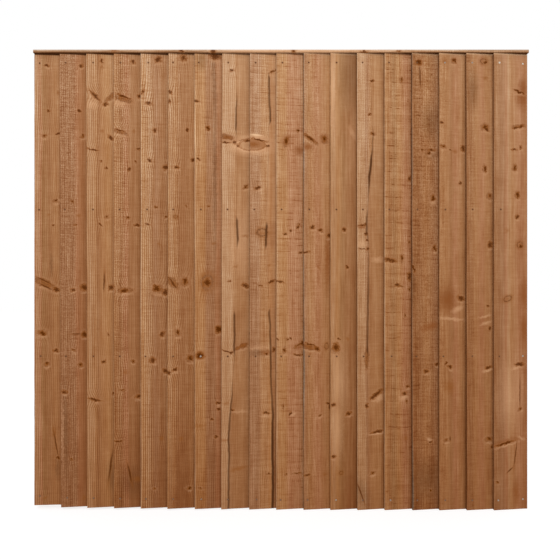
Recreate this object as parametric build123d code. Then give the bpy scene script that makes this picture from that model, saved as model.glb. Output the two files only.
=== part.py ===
"""Closeboard fence panel: lapped feather-edge boards nailed to four rails, under a flat capping strip.

Millimetres. X runs along the panel, Z is up, and the boarded front faces -Y. The origin is on the
ground under the middle of the panel, half way through the capping strip's depth.
"""

import os
from collections import namedtuple

from build123d import *

# Overall size
PANEL_WIDTH = 1830
PANEL_HEIGHT = 1700

# Feather-edge boards, thick on their left edge and thin on their right
BOARD_WIDTH = 130
BOARD_THICK_EDGE = 12
BOARD_THIN_EDGE = 4
BOARD_LAP = 30
BOARD_SEAT = 0.05  # air under a lapped edge, so that no two boards share wood

# How far each board was set from its even place, and how far its top leans from its foot
BOARD_SET = (0, -1, -3, -3, -4, -4, -5, -5, -2, -4, -3, -4, -5, -4, -2, -2, -1, 0)
BOARD_LEAN = (0, -5, -3, -1, 0, 4, -1, 4, 3, 1, 1, 1, -1, 0, -2, 0, -2, 0)

# The boards' feet rise towards the left end, and the first board is cut shorter still
FOOT_RISE = 11.5
FOOT_CURVE = 2.2
FIRST_BOARD_SHORT = 4

# Rails behind the boards, numbered from the top
RAIL_COUNT = 4
RAIL_HEIGHT = 47
RAIL_DEPTH = 28
RAIL_ARRIS = 1.5
BOTTOM_RAIL_LIFT = 12  # from the lowest board foot to the underside of the bottom rail

# Capping strip
CAP_THICKNESS = 12
CAP_OVERHANG = 1  # past the boards in front and past the rails behind
CAP_SHORT = 2  # how far it stops short of the right-hand end
CAP_ARRIS = 2

# Round wire nails with flat heads, drawn with few sides because there are so many
NAIL_LENGTH = 35
END_NAIL_LENGTH = 30
CAP_NAIL_LENGTH = 32
NAIL_SHANK = 2.8
NAIL_HEAD = 6.5
NAIL_HEAD_THICKNESS = 1.0
NAIL_SET = 0.8  # how deep the head is driven below the wood at its middle
NAIL_CLEARANCE = 0.05
SHANK_SIDES = 6
HEAD_SIDES = 8

# Where the nails go
NAIL_EDGE = 21  # from a board's thick edge
# How far each nail of the second row strays along its board; the other rows start elsewhere in the list
NAIL_WANDER = (-4, -5, 1, 0, 2, -2, 2, 0, -4, -1, 1, 2, 1, -2, 0, 3, 3, 6)
END_NAIL_EDGE = 17  # second nail, from the last board's thin edge
END_NAIL_RAILS = (1, 3, 4)
NAIL_DROP = 11  # the upper rows run this far below the middle of their rails
RAIL_EDGE_KEEP = 10  # the bottom row climbs with the board feet, to this far from the rail's top
CAP_NAIL_EVERY = 3  # one cap nail to this many boards

# Boards along the panel
STEPS = round((PANEL_WIDTH - BOARD_WIDTH) / (BOARD_WIDTH - BOARD_LAP))
BOARD_COUNT = STEPS + 1
PITCH = (PANEL_WIDTH - BOARD_WIDTH) / STEPS
LEFT_END = -PANEL_WIDTH / 2
CAP_UNDERSIDE = PANEL_HEIGHT - CAP_THICKNESS
MIDDLE_HEIGHT = CAP_UNDERSIDE / 2


def left_edge(i, z):
    """X of board i's thick edge at height z. The end boards stay true to the panel's ends."""
    even = LEFT_END + i * PITCH
    if i in (0, STEPS):
        return even
    lean = BOARD_LEAN[i % len(BOARD_LEAN)] * (z - MIDDLE_HEIGHT) / CAP_UNDERSIDE
    return even + BOARD_SET[i % len(BOARD_SET)] + lean


def board_foot(i):
    """Height of board i's sawn foot above the lowest one."""
    share = i / STEPS
    return FOOT_RISE * (1 - share) ** FOOT_CURVE + (FIRST_BOARD_SHORT if i == 0 else 0)


def face_height(lift, t):
    """How far a board's face stands off the rails, t from its thick edge, which is lifted by lift."""
    at_thick = lift + BOARD_THICK_EDGE
    return at_thick + (BOARD_THIN_EDGE - at_thick) * t / BOARD_WIDTH


def board_lifts():
    """Each thick edge rides on the board beneath it, and each thin edge lies on the rails."""
    lifts = [0.0]
    for i in range(1, BOARD_COUNT):
        step = min(left_edge(i, z) - left_edge(i - 1, z) for z in (0, CAP_UNDERSIDE))
        lifts.append(face_height(lifts[-1], step) + BOARD_SEAT)
    return lifts


LIFTS = board_lifts()
BOARDING_DEPTH = max(LIFTS) + BOARD_THICK_EDGE
CAP_DEPTH = RAIL_DEPTH + BOARDING_DEPTH + 2 * CAP_OVERHANG
RAIL_BACK = CAP_DEPTH / 2 - CAP_OVERHANG
RAIL_FRONT = RAIL_BACK - RAIL_DEPTH


def rail_middle(rail):
    """Height of the middle of a rail: the top one is tight under the cap, the others evenly below."""
    top = CAP_UNDERSIDE - RAIL_HEIGHT / 2
    bottom = BOTTOM_RAIL_LIFT + RAIL_HEIGHT / 2
    return top - (top - bottom) * (rail - 1) / (RAIL_COUNT - 1)


def nail_height(i, rail):
    """Height of board i's nail in a rail."""
    if rail < RAIL_COUNT:
        return rail_middle(rail) - NAIL_DROP
    climb = RAIL_HEIGHT / 2 - RAIL_EDGE_KEEP
    return rail_middle(rail) + climb * board_foot(i) / board_foot(0)


# A nail through board `board`, `across` from its thick edge and `height` above the ground
Nail = namedtuple("Nail", "board across height length")


def row_of_nails(rail):
    """The nails of one rail, from left to right."""
    start = (rail - 2) * len(NAIL_WANDER) // RAIL_COUNT
    nails = []
    for i in range(BOARD_COUNT):
        stray = NAIL_WANDER[(i + start) % len(NAIL_WANDER)]
        nails.append(Nail(i, NAIL_EDGE + stray, nail_height(i, rail), NAIL_LENGTH))
    if rail in END_NAIL_RAILS:
        across = BOARD_WIDTH - END_NAIL_EDGE
        nails.append(Nail(STEPS, across, nail_height(STEPS, rail), END_NAIL_LENGTH))
    return nails


def nail_plane(nail):
    """Plane on the seat under a nail's head, with the nail driven along its +Z, into the panel."""
    x = left_edge(nail.board, nail.height) + nail.across
    seat = face_height(LIFTS[nail.board], nail.across) - NAIL_SET - NAIL_HEAD_THICKNESS
    return Plane(origin=(x, RAIL_FRONT - seat, nail.height), x_dir=(1, 0, 0), z_dir=(0, 1, 0))


def prism(sides, width, bottom, top):
    """Straight bar of a regular section that measures width from corner to corner."""
    return Pos(0, 0, bottom) * extrude(RegularPolygon(width / 2, sides), top - bottom)


def nail_solid(length):
    """One nail, point down its +Z, with the underside of its head at zero."""
    head = prism(HEAD_SIDES, NAIL_HEAD, -NAIL_HEAD_THICKNESS, 0)
    shank = prism(SHANK_SIDES, NAIL_SHANK, 0, length - NAIL_HEAD_THICKNESS)
    return head + shank


def shank_hole(length):
    """Room for a nail's shank, from the seat to just past its point."""
    width = NAIL_SHANK + 2 * NAIL_CLEARANCE
    return prism(SHANK_SIDES, width, 0, length - NAIL_HEAD_THICKNESS + NAIL_CLEARANCE)


def head_hole():
    """The dent that a driven head leaves, open to the front."""
    width = NAIL_HEAD + 2 * NAIL_CLEARANCE
    return prism(HEAD_SIDES, width, -BOARD_THICK_EDGE, 0)


ROWS = {rail: row_of_nails(rail) for rail in range(1, RAIL_COUNT + 1)}
ALL_NAILS = [nail for row in ROWS.values() for nail in row]
LENGTHS = (NAIL_LENGTH, END_NAIL_LENGTH, CAP_NAIL_LENGTH)
NAILS = {length: nail_solid(length) for length in LENGTHS}
SHANK_HOLES = {length: shank_hole(length) for length in LENGTHS}
HEAD_HOLE = head_hole()


def feather_edge_board(i):
    """Board i as sawn: one wedge section carried up the panel, a little out of plumb."""
    foot, lift = board_foot(i), LIFTS[i]
    section = Polygon(
        (0, -lift),
        (0, -lift - BOARD_THICK_EDGE),
        (BOARD_WIDTH, -BOARD_THIN_EDGE),
        (BOARD_WIDTH, 0),
        align=None,
    )
    at_foot = Pos(left_edge(i, foot), RAIL_FRONT, foot) * section
    lean = left_edge(i, CAP_UNDERSIDE) - left_edge(i, foot)
    return Solid.extrude(at_foot.face(), Vector(lean, 0, CAP_UNDERSIDE - foot))


def nailed_board(i):
    """Board i with the dents and holes of its own nails, and the holes of the next board's nails."""
    holes = [nail_plane(nail) * HEAD_HOLE for nail in ALL_NAILS if nail.board == i]
    for nail in ALL_NAILS:
        if nail.board in (i, i + 1):
            holes.append(nail_plane(nail) * SHANK_HOLES[nail.length])
    return feather_edge_board(i) - holes


def cap_nail_planes():
    """Planes on the seats of the cap's nails, each in the bay between two lines of board nails."""
    y = RAIL_FRONT + RAIL_DEPTH / 2
    z = PANEL_HEIGHT - NAIL_HEAD_THICKNESS - NAIL_SET
    for i in range(1, BOARD_COUNT, CAP_NAIL_EVERY):
        x = left_edge(i, CAP_UNDERSIDE) + NAIL_EDGE - PITCH / 2
        yield Plane(origin=(x, y, z), x_dir=(1, 0, 0), z_dir=(0, 0, -1))


def rail_solid(rail):
    """A rail with its long arrises knocked off and the blind holes of its nails."""
    bar = Box(PANEL_WIDTH, RAIL_DEPTH, RAIL_HEIGHT)
    bar = chamfer(bar.edges().filter_by(Axis.X), RAIL_ARRIS)
    bar = Pos(0, RAIL_FRONT + RAIL_DEPTH / 2, rail_middle(rail)) * bar
    holes = [nail_plane(nail) * SHANK_HOLES[nail.length] for nail in ROWS[rail]]
    if rail == 1:
        holes += [plane * SHANK_HOLES[CAP_NAIL_LENGTH] for plane in cap_nail_planes()]
    return bar - holes


def cap_solid():
    """The capping strip, with its upper long arrises rounded and its nail holes."""
    strip = Box(PANEL_WIDTH - CAP_SHORT, CAP_DEPTH, CAP_THICKNESS)
    upper = strip.edges().filter_by(Axis.X).group_by(Axis.Z)[-1]
    strip = fillet(upper, CAP_ARRIS)
    strip = Pos(-CAP_SHORT / 2, 0, PANEL_HEIGHT - CAP_THICKNESS / 2) * strip
    holes = []
    for plane in cap_nail_planes():
        holes += [plane * HEAD_HOLE, plane * SHANK_HOLES[CAP_NAIL_LENGTH]]
    return strip - holes


def write(name, solids):
    """Write one node from one solid or a group of separate ones."""
    shape = solids[0] if len(solids) == 1 else Compound(children=solids)
    export_step(shape, f"parts/{name}.step")


os.makedirs("parts", exist_ok=True)
for i in range(BOARD_COUNT):
    write(f"board_{i + 1:02d}", [nailed_board(i)])
for rail, row in ROWS.items():
    write(f"rail_{rail}", [rail_solid(rail)])
    write(f"nails_row_{rail}", [nail_plane(nail) * NAILS[nail.length] for nail in row])
write("cap", [cap_solid()])
write("cap_nails", [plane * NAILS[CAP_NAIL_LENGTH] for plane in cap_nail_planes()])
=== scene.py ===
"""Closeboard fence panel: sawn feather-edge boards, rails, capping strip and wire nails, with their finishes.

Woodwork is laid out in millimetres and turned into metres when its mesh is made.
"""

import math
from collections import namedtuple

import bpy
import numpy as np
from bpy.props import FloatProperty, FloatVectorProperty, IntProperty, PointerProperty
from mathutils import Euler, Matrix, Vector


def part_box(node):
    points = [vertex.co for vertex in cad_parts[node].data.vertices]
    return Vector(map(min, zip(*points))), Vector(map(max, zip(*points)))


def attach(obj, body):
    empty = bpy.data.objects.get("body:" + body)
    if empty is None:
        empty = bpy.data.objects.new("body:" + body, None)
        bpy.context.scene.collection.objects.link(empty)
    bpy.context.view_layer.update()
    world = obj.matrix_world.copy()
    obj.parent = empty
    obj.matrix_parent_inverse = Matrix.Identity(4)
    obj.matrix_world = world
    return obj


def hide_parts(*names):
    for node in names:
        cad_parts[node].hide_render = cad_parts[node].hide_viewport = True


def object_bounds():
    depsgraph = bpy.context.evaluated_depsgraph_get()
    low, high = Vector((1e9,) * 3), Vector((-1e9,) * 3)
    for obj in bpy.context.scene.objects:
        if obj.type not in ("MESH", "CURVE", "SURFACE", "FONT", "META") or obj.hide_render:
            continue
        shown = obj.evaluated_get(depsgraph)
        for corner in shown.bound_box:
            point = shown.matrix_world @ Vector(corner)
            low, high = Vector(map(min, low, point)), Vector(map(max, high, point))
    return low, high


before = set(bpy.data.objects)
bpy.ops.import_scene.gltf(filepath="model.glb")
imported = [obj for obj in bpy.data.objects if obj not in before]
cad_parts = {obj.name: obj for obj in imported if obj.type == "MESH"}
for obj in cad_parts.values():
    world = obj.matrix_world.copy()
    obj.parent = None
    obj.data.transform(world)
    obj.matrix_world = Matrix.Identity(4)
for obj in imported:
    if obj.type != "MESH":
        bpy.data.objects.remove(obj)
CAD_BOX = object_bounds()

bl_info = {
    "name": "Closeboard Fence Panel",
    "version": (1, 0, 0),
    "blender": (4, 5, 0),
    "location": "3D Viewport > Sidebar > Fence Panel",
    "description": "Dresses a closeboard fence panel with sawn boards, rails, capping and nails",
    "category": "Object",
}

MM = 1000  # in a metre
BODY = "root"
BOARD_NODES = sorted(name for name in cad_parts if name.startswith("board_"))
RAIL_NODES = sorted(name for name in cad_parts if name.startswith("rail_"))
NAIL_NODES = sorted(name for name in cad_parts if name.startswith("nails_row_"))
PANEL_TALL = CAD_BOX[1].z * MM


def paint(red, green, blue):
    """Linear colour of a screen colour given as 0 to 255."""
    shares = [part / 255 for part in (red, green, blue)]
    return tuple(s / 12.92 if s <= 0.04045 else ((s + 0.055) / 1.055) ** 2.4 for s in shares)


def tone(name, description, red, green, blue):
    """A colour that a user can change."""
    return FloatVectorProperty(
        name=name, description=description, default=paint(red, green, blue),
        subtype="COLOR", size=3, min=0, max=1,
    )


def length(name, description, value, low=0.0, high=100.0):
    """A size in millimetres that a user can change."""
    return FloatProperty(name=name, description=f"{description}, in mm", default=value, min=low, max=high)


def share(name, description, value):
    """A strength that a user can change."""
    return FloatProperty(name=name, description=description, default=value, min=0, max=4, subtype="FACTOR")


class FenceWoodSettings(bpy.types.PropertyGroup):
    """Colours of the treated softwood."""

    # Cream is also laid on as a painted highlight along the arrises, and as painted light under the capping
    # strip
    cream: tone("Cream", "Bright worn edges", 206, 170, 134)
    straw: tone("Straw", "Palest sapwood", 169, 132, 100)
    tan: tone("Tan", "Clean sawn wood", 163, 122, 87)
    golden: tone("Golden", "Yellow sapwood", 167, 126, 89)
    pinkish: tone("Pinkish", "Rough wood that took little treatment", 164, 121, 90)
    amber: tone("Amber", "Warm orange wood", 165, 120, 81)
    russet: tone("Russet", "Reddish heartwood", 155, 111, 78)
    umber: tone("Umber", "Brown smooth wood", 154, 113, 80)
    olive: tone("Olive", "Greenish brown wood", 155, 117, 83)
    mauve: tone("Mauve", "Greyish brown rough wood", 156, 117, 87)
    chestnut: tone("Chestnut", "Dark brown wood", 147, 105, 71)
    # Bark is also laid on as painted shade: in the crease along the wane and in the band under the capping
    # strip
    bark: tone("Bark", "Bark residue and creases", 76, 44, 22)
    # The dead knot's colour is also laid on as painted shade on the thick edges' side faces and beside the
    # next board
    knot: tone("Dead knot", "Middle of a dark knot, and the shaded sides of boards", 78, 36, 4)
    heart: tone("Live knot", "Middle of a red knot", 122, 70, 28)
    fleck: tone("Fleck", "Pale wood beside a knot", 196, 152, 115)
    stain: tone("Stain", "Resin stain", 120, 68, 32)
    slate: tone("Slate", "Weathered grey", 134, 113, 96)
    ash: tone("Ash", "Weathered wood of the capping strip", 184, 152, 124)
    contrast: share("Contrast", "Strength of the grain and saw marks", 0.78)
    # This darkening towards the ground is painted shade, for light that falls off lower down
    shade_towards_ground: share("Weathering", "How much deeper the colour gets towards the ground", 0.34)


class FenceBoardSettings(bpy.types.PropertyGroup):
    """Sizes of the sawn surface."""

    column: length("Column spacing", "Mesh spacing across a board", 6.5, 2.0)
    row: length("Row spacing", "Mesh spacing along a board", 6.5, 2.0)
    arris: length("Arris", "Wear of the long edges", 0.9, 0.1, 3.0)
    unevenness: length("Unevenness", "Depth of the slow hollows", 0.45, 0.0, 2.0)
    saw_depth: length("Saw depth", "Depth of the saw chatter marks", 0.35, 0.0, 2.0)
    wane_drop: length("Wane drop", "How far the waney side lies below the sawn side", 1.5, 0.0, 2.5)
    dent_depth: length("Dent depth", "Depth of the dent round a driven nail", 1.3, 0.0, 4.0)
    relief: share("Relief", "Strength of the fine grain relief", 0.55)


class FenceNailSettings(bpy.types.PropertyGroup):
    """Sizes and colours of the wire nails."""

    head: length("Head", "Diameter of the nail heads", 6.5, 1.0)
    shank: length("Shank", "Diameter of the nail shanks", 2.8, 0.5)
    thickness: length("Head thickness", "Thickness of the nail heads", 1.0, 0.2)
    sides: IntProperty(name="Sides", description="Flats round a nail", default=14, min=6, max=48)
    tilt: FloatProperty(
        name="Tilt", description="Most that a nail leans", default=math.radians(1.5), min=0,
        subtype="ANGLE", unit="ROTATION",
    )
    bright: tone("Zinc", "Clean zinc coating", 205, 196, 182)
    dull: tone("Dull steel", "Stained steel", 104, 68, 44)


class FenceStageSettings(bpy.types.PropertyGroup):
    """Floor, light and camera."""

    floor: tone("Floor", "Colour of the floor", 150, 150, 150)
    sky: FloatProperty(name="Sky", description="Strength of the white surroundings", default=1.0, min=0)
    key: FloatProperty(name="Key", description="Power of the key light", default=52.0, min=0, unit="POWER")
    glow: FloatProperty(name="Glow", description="How strongly the floor glows", default=0.75, min=0)
    lens: FloatProperty(
        name="Lens", description="Focal length of the camera", default=34.51, min=1, unit="CAMERA"
    )


def patch(tone_name, middle, around):
    """The form of a mark of one colour that fades out."""
    return (0, tone_name, middle), (0.4, tone_name, around), (1, tone_name, 0)


# Each kind of mark, in the order that they are laid on: how ragged it is, and its form from the middle out
# as (share of its reach, colour name, cover)
MARK_FORMS = {
    "shade": (1.0, patch("bark", 0.42, 0.28)),
    "stain": (1.2, patch("stain", 0.85, 0.6)),
    "pale": (1.6, patch("fleck", 0.42, 0.3)),
    "gleam": (1.6, patch("fleck", 0.3, 0.2)),
    "rim": (0.4, patch("cream", 0.9, 0.7)),
    "eye": (0.5, (
        (0, "fleck", 0), (0.36, "fleck", 0.3), (0.45, "heart", 0.65), (0.51, "fleck", 0.7),
        (0.68, "fleck", 0.3), (1, "fleck", 0),
    )),
    "faint": (1.9, patch("heart", 0.65, 0.4)),
    "live": (1.9, (
        (0, "knot", 0.7), (0.15, "heart", 0.75), (0.36, "heart", 0.6), (0.46, "knot", 0.65),
        (0.57, "heart", 0.4), (0.75, "russet", 0.35), (1, "russet", 0),
    )),
    "ring": (1.0, (
        (0, "heart", 0.6), (0.3, "heart", 0.35), (0.44, "knot", 0.8), (0.54, "heart", 0.5),
        (0.75, "heart", 0.2), (1, "heart", 0),
    )),
    "crack": (0.6, ((0, "knot", 0.9), (0.4, "knot", 0.65), (0.6, "heart", 0.35), (1, "heart", 0))),
    "dead": (1.9, (
        (0, "knot", 0.95), (0.3, "knot", 0.85), (0.44, "heart", 0.75), (0.58, "heart", 0.4),
        (0.75, "russet", 0.3), (1, "russet", 0),
    )),
}
# Marks that keep near to their ellipse, and marks that the growth rings bend round
CLEAN_MARKS = ("rim", "eye", "ring", "crack")
RING_BENDERS = ("dead", "live", "ring", "faint")
# A mark's cover ends at this many times its size, and its form goes on this far through the board
MARK_REACH = 1.9
MARK_THROUGH = 400

# A plain timber's look, in millimetres. rich and damp: deeper colour all over and near the foot; sawn: how
# far across it is rough; pitch: spacing of the saw chatter; edge: pale colour along the thick edge's arris,
# partly worn wood and partly a painted highlight; side: painted shade on the thick edge's side face; wane:
# (height, across, darkness) along the edge of the bark side, its darkness partly bark and partly painted
# shade in the crease; top: a band of painted shade along the top under the capping strip, or below 0 a band
# of painted light there; then the marks of each kind, as (across, height, half width, half length, turn in
# degrees if any)
PLAIN = dict(
    rich=0.0, damp=0.0, sawn=200, rough=0.0, hatch=0.1, weave=0.0, dashes=0.0, chatter=0.0, pitch=47.2,
    edge=0.3, edge_tone="tan", side=0.5, cloud=0.5, wane=(), wane_tone="umber", drift=1.0, top=0.0,
    **{kind: () for kind in MARK_FORMS},
)
# tones: colour names by their place across; rings: (pith across, pith depth, spacing, taper, strength)
Timber = namedtuple("Timber", ["tones", "rings", *PLAIN], defaults=PLAIN.values())

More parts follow.
